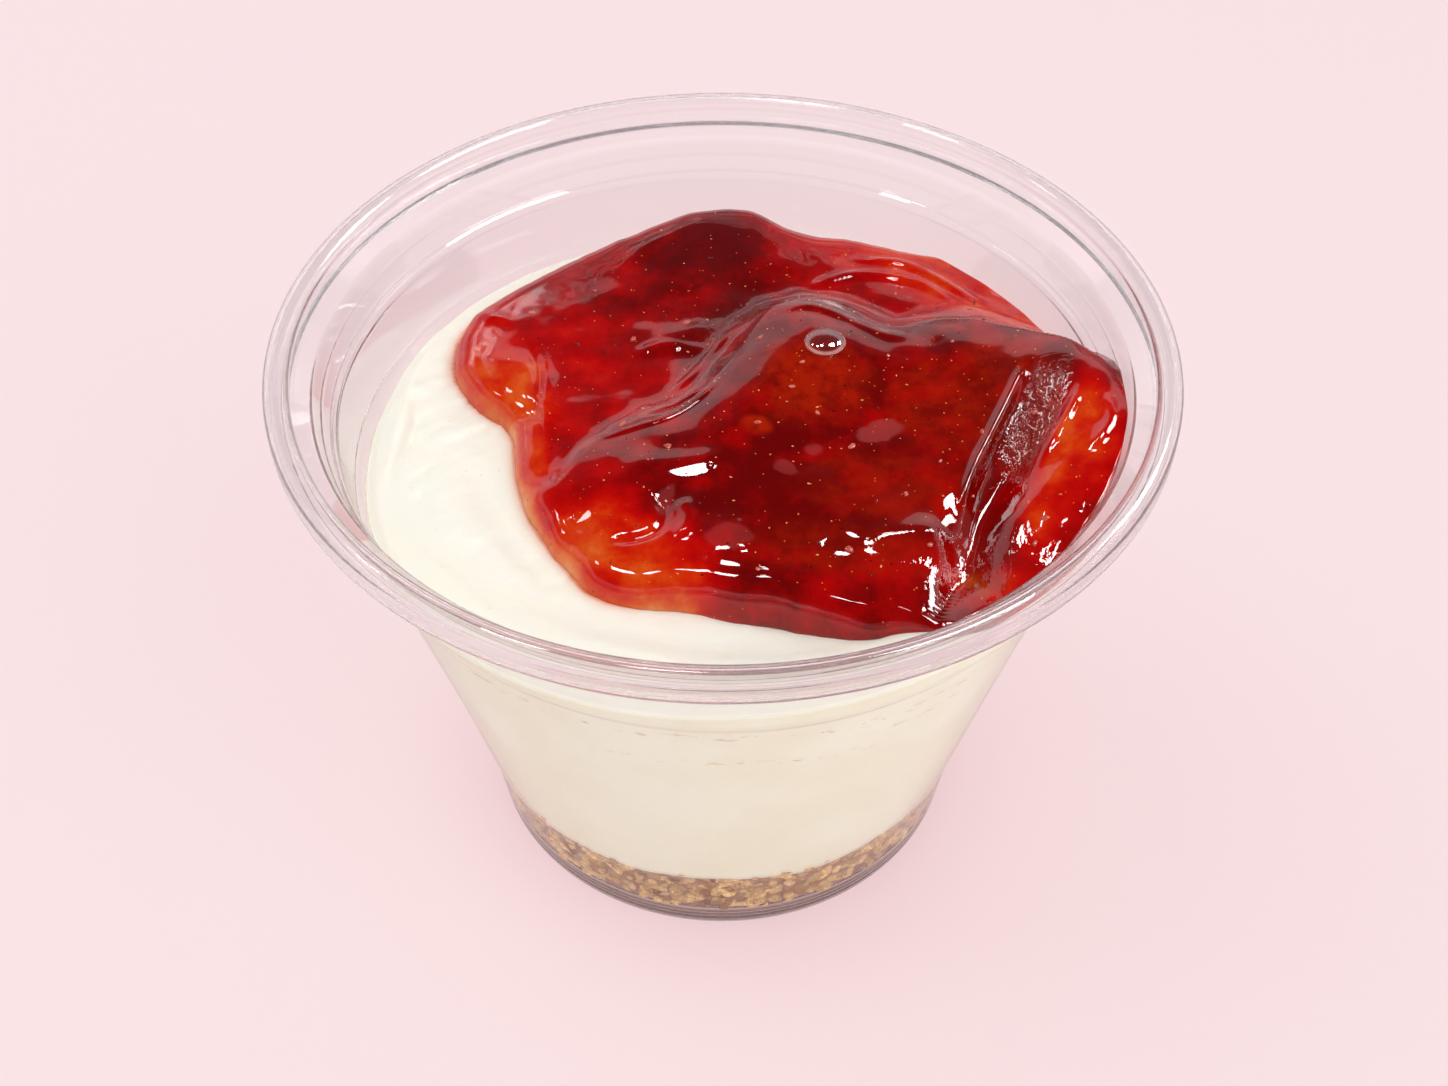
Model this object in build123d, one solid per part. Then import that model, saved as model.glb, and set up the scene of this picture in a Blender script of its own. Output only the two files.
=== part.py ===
from build123d import *
import math
import os

# A clear thermoformed dessert cup with three layers: pressed biscuit crumb, thick yogurt, and a
# glossy fruit compote spooned over about two thirds of the top.
# Millimetres, +Z up. The origin is the centre of the ring that the cup stands on. -Y is the front.

# ---- cup: radii are of the outside, drops are from the rim's top, heights are from the base ----
rim_radius = 47.5
cup_height = 65.6
wall = 0.5
bead_width = 2.64
bead_height = 3.95
bead_lead_drop = 1.55
curl_gap = 0.5
band_top_radius = 43.3
band_top_drop = 3.6
step_radius = 41.4
step_width = 0.5
step_drop = 7.6
band_bottom_radius = 40.4
band_bottom_drop = 15.3
body_top_radius = 39.4
body_top_drop = 16.9
foot_top_radius = 29.1
foot_height = 9.4
foot_radius = 27.7
floor_height = 2.8
heel_width = 2.3
heel_slant = 0.5
sharp_fillet = 0.5
heel_fillet = 0.6
shoulder_fillet = 0.8
foot_fillet = 1.0
curl_flat = 0.02

# ---- crumb layer ----
crumb_height = 10.8
crumb_unevenness = 0.45
crumb_broad_wave = (4.1, 5.2)
crumb_fine_wave = (6.0, 2.9)
crumb_fine_share = 0.6
crumb_wave_start = 1.3
crumb_gap = 0.35

# ---- yogurt ----
headspace = 16.0
yogurt_height = cup_height - headspace
yogurt_climb = 1.6
yogurt_climb_tilt = 1.6
yogurt_climb_side = -35.0
yogurt_climb_start = 28.0
yogurt_climb_length = 10.0
smear_height = 1.0
smear_radius = 35.8
smear_width = 1.7
smear_side = 160.0
smear_sweep = 24.0
edge_roll_depth = 2.4
edge_roll_width = 1.9
edge_roll_side = 188.0
edge_roll_sweep = 24.0

# ---- compote: rises are above yogurt_height ----
compote_back_rise = 3.1
compote_peak = 2.3
compote_peak_place = (-1.5, 36.0)
compote_peak_spread = 7.5
crest_left_rise = 3.8
crest_rise = 8.9
crest_wall_rise = 12.0
crest_left_x = -18.0
crest_mid_x = 7.0
crest_right_x = 22.0
crest_wall_x = 41.0
crest_top_place = (15.0, 16.5)
crest_left_bend = 0.0239
crest_right_bend = 0.0155
crest_back_width = 6.5
crest_wall_back_width = 16.0
crest_wall_ease = 1.4
front_fall = 0.135
compote_least_depth = 1.0
compote_edge_round = 0.8
compote_edge_least = 0.6
compote_centre = (4.0, 3.0)
compote_depth_place = 0.9
wall_side_reach = 43.0
wall_side_ease = 21.5
# Bearing in degrees about compote_centre, and how far the compote reaches that way. Between the
# last bearing and the first, it reaches the wall.
compote_reach = [
    (59.5, 35.4), (80.8, 34.4), (93.0, 37.4), (109.0, 37.0), (130.0, 36.6), (144.0, 37.6),
    (154.0, 37.9), (165.0, 35.8), (173.0, 31.8), (181.0, 27.5), (197.0, 27.4), (224.0, 29.1),
    (237.0, 30.5), (257.0, 28.5), (277.0, 30.4), (290.0, 34.1),
]

# ---- clearances and fineness ----
fill_clearance = 0.05
seat_clearance = 0.06
compote_seat = 0.2
compote_wall_clearance = 0.1
compote_wall_lag = 0.9
surface_cells = 56
compote_sectors = 90
compote_rings = 21
ring_crowding = 1.15
compote_side_steps = 9
compote_base_rings = 11
wall_tries = 8


def smooth_step(t):
    t = min(max(t, 0.0), 1.0)
    return t * t * (3.0 - 2.0 * t)


def bump(x, y, place, spread):
    return math.exp(-((x - place[0]) ** 2 + (y - place[1]) ** 2) / (2.0 * spread**2))


def turn_between(angle, other):
    """Degrees from one bearing to another, the short way round."""
    return (angle - other + 180.0) % 360.0 - 180.0


# ---- the cup's wall ----


def wall_corners():
    """The middle line of the wall, from the middle of the floor to the end of the curled rim, as
    (radius, height, fillet). The fillet is 0 at the two ends."""
    half = wall / 2
    heel_radius = foot_radius - heel_width
    bead_inside = rim_radius - bead_width
    curl = bead_width / 2 - half - curl_flat
    return [
        (0.0, floor_height - half, 0.0),
        (heel_radius, floor_height - half, sharp_fillet),
        (heel_radius + heel_slant, half, sharp_fillet),
        (foot_radius - half, half, heel_fillet),
        (foot_top_radius - half, foot_height, foot_fillet),
        (body_top_radius - half, cup_height - body_top_drop, shoulder_fillet),
        (band_bottom_radius - half, cup_height - band_bottom_drop, shoulder_fillet),
        (step_radius - half, cup_height - step_drop - step_width, sharp_fillet),
        (step_radius + step_width - half, cup_height - step_drop, sharp_fillet),
        (band_top_radius - half, cup_height - band_top_drop, shoulder_fillet),
        (bead_inside + half, cup_height - bead_lead_drop, sharp_fillet),
        (bead_inside + half, cup_height - half, curl),
        (rim_radius - half, cup_height - half, curl),
        (rim_radius - half, cup_height - bead_height + half, curl),
        (bead_inside + half + curl_gap, cup_height - bead_height + half, 0.0),
    ]


def wall_line():
    corners = wall_corners()
    points = [(radius, height) for radius, height, _ in corners]
    return FilletPolyline(*points, radius=[fillet for _, _, fillet in corners[1:-1]])


def wall_section(thickness):
    """The wall's cross-section in the XY plane, where X is the radius and Y the height."""
    line = wall_line()
    outline = Wire(line.edges()).offset_2d(thickness / 2, kind=Kind.ARC, side=Side.BOTH, closed=True)
    inside = Pos(rim_radius, cup_height / 2) * Rectangle(2 * rim_radius, 2 * cup_height)
    return Face(outline) & inside


def turned(section):
    """A cross-section turned about the cup's axis."""
    upright = Plane.XZ * section
    return revolve(upright, axis=Axis.Z, revolution_arc=360)


def cup():
    return turned(wall_section(wall))


def inner_radius(height):
    """The cup's inside radius at a height, between the foot and the rim."""
    corners = [c for c in wall_corners() if c[1] >= foot_height - wall][:7]
    for (r0, z0, _), (r1, z1, _) in zip(corners, corners[1:]):
        if height <= z1:
            slope = (r1 - r0) / (z1 - z0)
            middle = r0 + slope * (height - z0)
            return middle - wall / 2 * math.sqrt(1.0 + slope**2)
    return corners[-1][0] - wall / 2


def cavity(clearance, bottom):
    """The space inside the cup above a height, kept a clearance away from the wall."""
    line = wall_line()
    bead_inside = rim_radius - bead_width
    inner_edges = [e for e in line.edges() if e.center().X < bead_inside]
    end = max((v for e in inner_edges for v in e.vertices()), key=lambda v: v.Y)
    closing = Polyline((end.X, end.Y), (0.0, end.Y), (0.0, floor_height - wall / 2))
    section = Face(Wire(inner_edges + closing.edges()))
    section -= wall_section(wall + 2 * clearance)
    section -= Pos(rim_radius, bottom - cup_height) * Rectangle(2 * rim_radius, 2 * cup_height)
    pieces = section.faces().sort_by(SortBy.AREA)
    return turned(pieces[-1])


# ---- layer surfaces ----


def crumb_top(x, y):
    broad_x, broad_y = crumb_broad_wave
    fine_x, fine_y = crumb_fine_wave
    broad = math.sin(x / broad_x + crumb_wave_start) * math.cos(y / broad_y)
    fine = crumb_fine_share * math.sin(x / fine_x + y / fine_y)
    return crumb_height + crumb_unevenness * (broad + fine)


def yogurt_top(x, y):
    radius = math.hypot(x, y)
    bearing = math.degrees(math.atan2(y, x))
    lean = math.cos(math.radians(bearing - yogurt_climb_side))
    climb = (yogurt_climb + yogurt_climb_tilt * lean) * smooth_step(
        (radius - yogurt_climb_start) / yogurt_climb_length
    )
    off_smear = ((radius - smear_radius) / smear_width) ** 2
    off_smear += (turn_between(bearing, smear_side) / smear_sweep) ** 2
    smear = smear_height * math.exp(-off_smear)
    roll_side = math.exp(-((turn_between(bearing, edge_roll_side) / edge_roll_sweep) ** 2))
    roll_start = inner_radius(yogurt_height) - edge_roll_width
    roll = edge_roll_depth * roll_side * smooth_step((radius - roll_start) / edge_roll_width)
    return yogurt_height + climb + smear - roll


def block_from_surface(top, height):
    """The space from a surface up to a height above it, or down if the height is negative."""
    reach = rim_radius + 2.0
    step = 2 * reach / surface_cells
    places = [-reach + step * i for i in range(surface_cells + 1)]
    points = [[Vector(x, y, top(x, y)) for x in places] for y in places]
    face = Face.make_surface_from_array_of_points(points, tol=0.01)
    return extrude(face, amount=height, dir=(0, 0, 1))


def crumb_base():
    body = cavity(crumb_gap, floor_height + seat_clearance)
    return body - block_from_surface(crumb_top, cup_height)


def yogurt():
    body = cavity(fill_clearance, floor_height + crumb_height / 2)
    body -= block_from_surface(lambda x, y: crumb_top(x, y) + seat_clearance, -cup_height)
    return body - block_from_surface(yogurt_top, cup_height)


# ---- compote ----


def crest_y(x):
    """Where the fold's crest runs, as Y at each X."""
    top_x, top_y = crest_top_place
    bend = crest_left_bend if x < top_x else crest_right_bend
    return top_y - bend * (x - top_x) ** 2


def crest_z(x):
    rise = smooth_step((x - crest_left_x) / (crest_mid_x - crest_left_x))
    to_wall = smooth_step((x - crest_right_x) / (crest_wall_x - crest_right_x))
    along_crest = crest_left_rise + (crest_rise - crest_left_rise) * rise
    return yogurt_height + along_crest + (crest_wall_rise - crest_rise) * to_wall


def compote_top(x, y):
    """The compote's upper surface, above its edge: a low layer at the back with a peak at the
    wall, and in front of it a thicker fold that falls towards the front."""
    ahead = crest_y(x) - y
    along = (x - crest_top_place[0]) / (crest_wall_x - crest_top_place[0])
    near_wall = smooth_step(crest_wall_ease * along)
    back_width = crest_back_width + (crest_wall_back_width - crest_back_width) * near_wall
    front = crest_z(x) - front_fall * max(ahead, 0.0)
    peak = compote_peak * bump(x, y, compote_peak_place, compote_peak_spread)
    back = yogurt_height + compote_back_rise + peak
    surface = back + (front - back) * smooth_step(1.0 + ahead / back_width)
    return max(surface, yogurt_top(x, y) + compote_least_depth)


def reach(bearing):
    """How far the compote reaches from its centre, as a smooth curve through compote_reach."""
    first, last = compote_reach[0][0], compote_reach[-1][0]
    bearing = first + (bearing - first) % 360.0
    if bearing >= last:
        past_last, before_first = bearing - last, 360.0 + first - bearing
        edge = compote_reach[-1][1] if past_last < before_first else compote_reach[0][1]
        ease = smooth_step(min(past_last, before_first) / wall_side_ease)
        return edge + (wall_side_reach - edge) * ease
    for i, ((b0, r0), (b1, r1)) in enumerate(zip(compote_reach, compote_reach[1:])):
        if bearing <= b1:
            before = compote_reach[max(i - 1, 0)]
            after = compote_reach[min(i + 2, len(compote_reach) - 1)]
            t = (bearing - b0) / (b1 - b0)
            m0 = (r1 - before[1]) / (b1 - before[0]) * (b1 - b0)
            m1 = (after[1] - r0) / (after[0] - b0) * (b1 - b0)
            return (
                (2 * t**3 - 3 * t**2 + 1) * r0
                + (t**3 - 2 * t**2 + t) * m0
                + (3 * t**2 - 2 * t**3) * r1
                + (t**3 - t**2) * m1
            )


def compote_profile(bearing):
    """Points from the middle of the top, out to the edge and back under to the middle of the base,
    in one direction from the compote's centre."""
    cx, cy = compote_centre
    ux, uy = math.cos(math.radians(bearing)), math.sin(math.radians(bearing))

    def at(s):
        return cx + s * ux, cy + s * uy

    def to_wall(height):
        limit = inner_radius(height - compote_wall_lag) - compote_wall_clearance
        along = cx * ux + cy * uy
        return -along + math.sqrt(along**2 + limit**2 - cx**2 - cy**2)

    end = reach(bearing)
    depth = compote_top(*at(end * compote_depth_place)) - yogurt_top(*at(end))
    shoulder = end - compote_edge_round * depth - compote_edge_least
    for _ in range(wall_tries):
        shoulder = min(shoulder, to_wall(compote_top(*at(shoulder))))
    shares = [k / compote_rings for k in range(1, compote_rings + 1)]
    ring = [shoulder * (1.0 - (1.0 - share) ** ring_crowding) for share in shares]
    points = [(*at(s), compote_top(*at(s))) for s in ring]
    top = points[-1][2]
    for k in range(1, compote_side_steps + 1):
        turn = math.radians(90.0 * k / compote_side_steps)
        s = shoulder + (end - shoulder) * math.sin(turn)
        base = yogurt_top(*at(min(s, to_wall(top)))) + compote_seat
        height = base + (top - base) * math.cos(turn)
        s = min(s, to_wall(height))
        points.append((*at(s), height))
    edge = s
    for k in range(1, compote_base_rings):
        s = edge * (1.0 - k / compote_base_rings)
        points.append((*at(s), yogurt_top(*at(s)) + compote_seat))
    return points


def compote():
    cx, cy = compote_centre
    top = Vector(cx, cy, compote_top(cx, cy))
    base = Vector(cx, cy, yogurt_top(cx, cy) + compote_seat)
    profiles = [
        [Vector(*p) for p in compote_profile(360.0 * j / compote_sectors)]
        for j in range(compote_sectors)
    ]
    triangles = []
    for j, left in enumerate(profiles):
        right = profiles[(j + 1) % compote_sectors]
        triangles.append((top, left[0], right[0]))
        triangles.append((base, right[-1], left[-1]))
        for a, b, c, d in zip(left, left[1:], right, right[1:]):
            triangles.append((a, b, d))
            triangles.append((a, d, c))
    faces = [Face(Wire.make_polygon(corners)) for corners in triangles]
    return Solid(Shell(faces))


os.makedirs("parts", exist_ok=True)
for name, make in (
    ("cup", cup),
    ("crumb_base", crumb_base),
    ("yogurt", yogurt),
    ("compote", compote),
):
    export_step(make(), f"parts/{name}.step")
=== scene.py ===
import math

import bmesh
import bpy
import numpy as np
from mathutils import Matrix, Vector, noise


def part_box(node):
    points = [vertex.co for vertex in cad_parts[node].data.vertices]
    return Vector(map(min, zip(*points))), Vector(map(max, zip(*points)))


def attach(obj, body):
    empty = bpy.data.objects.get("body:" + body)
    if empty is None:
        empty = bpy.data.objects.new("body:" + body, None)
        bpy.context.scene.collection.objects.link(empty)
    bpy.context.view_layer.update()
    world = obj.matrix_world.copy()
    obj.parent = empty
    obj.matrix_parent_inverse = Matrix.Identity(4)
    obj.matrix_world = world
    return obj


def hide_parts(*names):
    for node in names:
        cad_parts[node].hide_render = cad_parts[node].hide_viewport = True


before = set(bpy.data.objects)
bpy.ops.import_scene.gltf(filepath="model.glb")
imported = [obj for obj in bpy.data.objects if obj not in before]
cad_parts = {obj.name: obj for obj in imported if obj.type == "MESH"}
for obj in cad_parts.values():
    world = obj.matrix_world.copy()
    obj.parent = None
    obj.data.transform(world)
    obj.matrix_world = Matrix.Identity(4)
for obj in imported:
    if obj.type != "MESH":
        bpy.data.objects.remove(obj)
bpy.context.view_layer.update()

# A clear dessert cup with pressed biscuit crumb, thick yogurt and a glossy fruit compote.
# Lengths are in millimetres until a mesh is made. The front is -Y and up is +Z.

MM = 0.001
_, cup_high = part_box("cup")

# ---- cup ----
rim_radius = cup_high.x / MM
cup_height = cup_high.z / MM
wall = 0.5
bead_width = 2.64
bead_height = 3.95
bead_lead_drop = 1.55
curl_gap = 0.5
curl_flat = 0.02
band_top_radius = 43.3
band_top_drop = 3.6
step_radius = 41.4
step_width = 0.5
step_drop = 7.6
band_bottom_radius = 40.4
band_bottom_drop = 15.3
body_top_radius = 39.4
body_top_drop = 16.9
foot_top_radius = 29.1
foot_height = 9.4
foot_radius = 27.7
floor_height = 2.8
heel_width = 2.3
heel_slant = 0.5
sharp_fillet = 0.5
heel_fillet = 0.6
shoulder_fillet = 0.8
foot_fillet = 1.0
# Fine raised lines round the plastic: drop below the rim, height, half width.
moulding_lines = [
    (5.6, 0.35, 0.2),
    (7.7, 1.0, 0.25),
    (8.6, 0.6, 0.25),
    (15.2, 0.9, 0.35),
    (cup_height - 4.0, 0.5, 0.3),
    (cup_height - 2.2, 1.0, 0.3),
    (cup_height - 1.2, 0.9, 0.3),
]
# The plastic's colour at each height: a faint tint, with painted shade and highlight bands in the
# foot that stand in for its dark and bright refraction lines, and the rim's bead painted clearest:
# painted light against the grey its many surfaces would show.
plastic_tint_and_painted_bands = [
    (0.45, (0.12, 0.10, 0.09)),
    (0.8, (0.90, 0.86, 0.82)),
    (1.3, (0.86, 0.80, 0.75)),
    (1.6, (0.34, 0.30, 0.27)),
    (1.9, (0.97, 0.93, 0.89)),
    (2.6, (0.70, 0.62, 0.53)),
    (3.4, (0.94, 0.925, 0.90)),
    (cup_height - 4.6, (0.935, 0.925, 0.925)),
    (cup_height - 3.8, (1.0, 0.995, 0.995)),
]
edge_shade_below = (0.50, 0.44, 0.36, 1.0)
edge_shade_in_bead = (0.26, 0.33, 0.47, 1.0)
unbent_share = 0.12
cup_sectors = 320
cup_wobble = 0.05

# ---- filling ----
into_wall = 0.12
crumb_height = 10.8
crumb_wave = 0.45
crumb_foot = 3.35
yogurt_height = cup_height - 16.0
filling_sectors = 360

rng = np.random.default_rng(7)


# ---- arithmetic ----


def smooth_step(t):
    t = np.clip(t, 0.0, 1.0)
    return t * t * (3.0 - 2.0 * t)


def bump(x, y, place, spread, spread_y=None, turn=0.0):
    """A rounded hill of height 1, which may be longer one way than the other."""
    c, s = math.cos(math.radians(turn)), math.sin(math.radians(turn))
    dx, dy = x - place[0], y - place[1]
    along, across = dx * c + dy * s, dy * c - dx * s
    return np.exp(-((along / spread) ** 2 + (across / (spread_y or spread)) ** 2) / 2.0)


def turn_between(angle, other):
    return (angle - other + 180.0) % 360.0 - 180.0


def smooth_route(points, steps=12):
    """A smooth line through given points of any width."""
    p = np.array(points, float)
    ends = np.vstack([2 * p[0] - p[1], p, 2 * p[-1] - p[-2]])
    line = []
    for a, b, c, d in zip(ends, ends[1:], ends[2:], ends[3:]):
        for t in np.arange(steps) / steps:
            bend = 2 * b + (c - a) * t + (2 * a - 5 * b + 4 * c - d) * t**2
            line.append(0.5 * (bend + (3 * b - a - 3 * c + d) * t**3))
    line.append(p[-1])
    return np.array(line)


def beside(line, x, y):
    """For each place, how far it lies from a line in plan, positive on the line's right-hand side,
    and how far along the line it lies, from 0 to 1."""
    px, py = np.ravel(x), np.ravel(y)
    best = np.full(px.shape, np.inf)
    side = np.ones(px.shape)
    share = np.zeros(px.shape)
    for i, ((ax, ay), (bx, by)) in enumerate(zip(line[:, :2], line[1:, :2])):
        sx, sy = bx - ax, by - ay
        t = np.clip(((px - ax) * sx + (py - ay) * sy) / max(sx * sx + sy * sy, 1e-12), 0, 1)
        dx, dy = px - ax - t * sx, py - ay - t * sy
        d2 = dx * dx + dy * dy
        nearer = d2 < best
        best[nearer] = d2[nearer]
        side[nearer] = np.where((sx * dy - sy * dx)[nearer] > 0, -1.0, 1.0)
        share[nearer] = (i + t[nearer]) / (len(line) - 1)
    return (np.sqrt(best) * side).reshape(np.shape(x)), share.reshape(np.shape(x))


def rough(x, y, z, size, octaves=3):
    """Smooth noise from about -1 to 1 whose lumps are about this size."""
    flat = zip(np.ravel(x), np.ravel(y), np.ravel(np.broadcast_to(z, np.shape(x))))
    values = [
        noise.fractal(Vector((a, b, c)) / size, 0.9, 2.0, octaves, noise_basis="PERLIN_ORIGINAL")
        for a, b, c in flat
    ]
    return np.array(values).reshape(np.shape(x))


# ---- mesh helpers ----


def make_object(name, material, points, faces, smooth=True):
    mesh = bpy.data.meshes.new(name)
    mesh.materials.append(material)
    mesh.from_pydata((np.asarray(points, float) * MM).tolist(), [], [list(f) for f in faces])
    bm = bmesh.new()
    bm.from_mesh(mesh)
    bmesh.ops.recalc_face_normals(bm, faces=bm.faces)
    bm.to_mesh(mesh)
    bm.free()
    mesh.polygons.foreach_set("use_smooth", [smooth] * len(mesh.polygons))
    mesh.update()
    obj = bpy.data.objects.new(name, mesh)
    bpy.context.scene.collection.objects.link(obj)
    return obj


def ring_faces(rings, sectors):
    faces = []
    for i in range(rings - 1):
        a, b = i * sectors, (i + 1) * sectors
        for j in range(sectors):
            k = (j + 1) % sectors
            faces.append((a + j, a + k, b + k, b + j))
    return faces


def closed_skin(name, material, rings, first, last):
    """A closed mesh from rings of points, with a middle point at each end."""
    count, sectors = rings.shape[:2]
    points = np.vstack([rings.reshape(-1, 3), [first], [last]])
    faces = ring_faces(count, sectors)
    start, end = count * sectors, count * sectors + 1
    for j in range(sectors):
        k = (j + 1) % sectors
        faces.append((start, k, j))
        faces.append((end, (count - 1) * sectors + j, (count - 1) * sectors + k))
    return make_object(name, material, points, faces)


def round_steps(sectors):
    """Evenly spaced angles all the way round, with their cosines and sines."""
    angles = np.arange(sectors) * 2 * math.pi / sectors
    return angles, np.cos(angles), np.sin(angles)


def store(obj, name, values):
    """A number for each point of a mesh, which its material reads."""
    layer = obj.data.attributes.new(name, "FLOAT", "POINT")
    layer.data.foreach_set("value", np.asarray(values, np.float32))


# ---- materials ----


def new_material(name):
    material = bpy.data.materials.new(name)
    return material, Nodes(material)


class Nodes:
    """Short calls that add nodes to the emptied tree of a material or of the world."""

    def __init__(self, owner):
        owner.use_nodes = True
        self.tree = owner.node_tree
        self.tree.nodes.clear()

    def add(self, kind, **values):
        node = self.tree.nodes.new(kind)
        for key, value in values.items():
            setattr(node, key, value)
        return node

    def link(self, source, target):
        self.tree.links.new(source, target)

    def put(self, socket, value):
        if hasattr(value, "is_output"):
            self.link(value, socket)
        else:
            socket.default_value = value

    def math(self, operation, a, b=0.0):
        node = self.add("ShaderNodeMath", operation=operation)
        self.put(node.inputs[0], a)
        self.put(node.inputs[1], b)
        return node.outputs[0]

    def times(self, first, *others):
        for other in others:
            first = self.math("MULTIPLY", first, other)
        return first

    def span(self, value, low, high, to_low=0.0, to_high=1.0):
        node = self.add("ShaderNodeMapRange", interpolation_type="SMOOTHSTEP")
        self.put(node.inputs["Value"], value)
        ends = {"From Min": low, "From Max": high, "To Min": to_low, "To Max": to_high}
        for key, number in ends.items():
            node.inputs[key].default_value = number
        return node.outputs[0]

    def mix(self, share, a, b, blend="MIX"):
        node = self.add("ShaderNodeMix", data_type="RGBA", blend_type=blend)
        self.put(node.inputs[0], share)
        self.put(node.inputs[6], a)
        self.put(node.inputs[7], b)
        return node.outputs[2]

    def place(self):
        return self.add("ShaderNodeTexCoord").outputs["Object"]

    def number(self, name):
        return self.add("ShaderNodeAttribute", attribute_name=name).outputs["Fac"]

    def noise(self, size, detail=3.0, roughness=0.55, stretch=None):
        """Noise whose lumps are about this size in millimetres."""
        node = self.add("ShaderNodeTexNoise")
        place = self.place()
        if stretch:
            squeeze = self.add("ShaderNodeMapping")
            squeeze.inputs["Scale"].default_value = stretch
            self.link(place, squeeze.inputs["Vector"])
            place = squeeze.outputs[0]
        self.link(place, node.inputs["Vector"])
        node.inputs["Scale"].default_value = 1.0 / (size * MM)
        node.inputs["Detail"].default_value = detail
        node.inputs["Roughness"].default_value = roughness
        return node.outputs[0]

    def cells(self, size, feature="F1"):
        node = self.add("ShaderNodeTexVoronoi", feature=feature)
        self.link(self.place(), node.inputs["Vector"])
        node.inputs["Scale"].default_value = 1.0 / (size * MM)
        return node.outputs["Distance"]

    def bump(self, height, strength, distance, normal=None):
        node = self.add("ShaderNodeBump")
        node.inputs["Strength"].default_value = strength
        node.inputs["Distance"].default_value = distance * MM
        self.link(height, node.inputs["Height"])
        if normal is not None:
            self.link(normal, node.inputs["Normal"])
        return node.outputs[0]

    def ramp(self, value, stops):
        """A colour ramp with these colours at these positions, in rising order."""
        node = self.add("ShaderNodeValToRGB")
        elements = node.color_ramp.elements
        while len(elements) < len(stops):
            elements.new(0.5)
        for element, (position, colour) in zip(elements, stops):
            element.position = position
            element.color = colour
        self.link(value, node.inputs[0])
        return node.outputs[0]

    def shader(self, kind="ShaderNodeBsdfPrincipled", **values):
        node = self.add(kind)
        for key, value in values.items():
            self.put(node.inputs[key.replace("_", " ")], value)
        return node.outputs[0]

    def blend(self, share, first, second):
        """The first shader, turning into the second as the share rises to 1."""
        node = self.add("ShaderNodeMixShader")
        for socket, value in zip(node.inputs, (share, first, second)):
            self.put(socket, value)
        return node.outputs[0]

    def finish(self, shader, volume=None, kind="ShaderNodeOutputMaterial"):
        out = self.add(kind)
        self.link(shader, out.inputs["Surface"])
        if volume is not None:
            self.link(volume, out.inputs["Volume"])


def rgb(red, green, blue):
    """A colour given as it looks on a screen, from 0 to 255."""
    linear = []
    for value in (red, green, blue):
        v = value / 255.0
        linear.append(v / 12.92 if v <= 0.04045 else ((v + 0.055) / 1.055) ** 2.4)
    return (*linear, 1.0)


def clear_plastic():
    """Thin formed plastic that refracts, with fine moulding lines. Its colour changes with height,
    with painted shade and highlight bands in the foot and the bead painted clearest; it has painted
    shade where it is seen edge on, and a small share of what is behind it shows unbent."""
    material, n = new_material("clear_plastic")
    split = n.add("ShaderNodeSeparateXYZ")
    n.link(n.place(), split.inputs[0])
    height = n.math("DIVIDE", split.outputs["Z"], cup_height * MM)
    stops = [(0.0, 0.0)]
    for drop, level, half in moulding_lines:
        middle, aside = 1.0 - drop / cup_height, half / cup_height
        stops += [(middle - aside, 0.0), (middle, level), (middle + aside, 0.0)]
    lines = n.ramp(height, [(place, (level, level, level, 1.0)) for place, level in sorted(stops)])
    # Painted shade and highlight: the ramp's dark and pale bands in the foot stand in for
    # refraction lines.
    banded_plastic_colour = n.ramp(height, [(z / cup_height, (*colour, 1.0)) for z, colour in plastic_tint_and_painted_bands])
    edge_on = n.span(n.add("ShaderNodeLayerWeight").outputs["Facing"], 0.78, 0.96)
    edge_shade = n.mix(n.span(height, 0.90, 0.94), edge_shade_below, edge_shade_in_bead)
    shade = n.mix(edge_on, banded_plastic_colour, edge_shade, "MULTIPLY")
    wave = n.bump(n.noise(7.0, 2.0, stretch=(1.0, 1.0, 0.6)), 0.045, 0.12)
    ribs = n.bump(lines, 1.0, 0.13, wave)
    glass = n.shader(
        Base_Color=shade, Transmission_Weight=1.0, Roughness=0.0, IOR=1.43, Normal=ribs
    )
    unbent = n.shader("ShaderNodeBsdfTransparent", Color=banded_plastic_colour)
    for_lamps = n.shader("ShaderNodeBsdfTransparent", Color=(0.995, 0.99, 0.985, 1.0))
    path = n.add("ShaderNodeLightPath")
    lamp_side = n.math("MAXIMUM", path.outputs["Is Shadow Ray"], path.outputs["Is Diffuse Ray"])
    surface = n.blend(lamp_side, n.blend(unbent_share, glass, unbent), for_lamps)
    absorbed = n.shader("ShaderNodeVolumeAbsorption", Color=(0.40, 0.46, 0.56, 1.0), Density=40.0)
    n.finish(surface, absorbed)
    return material


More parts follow.
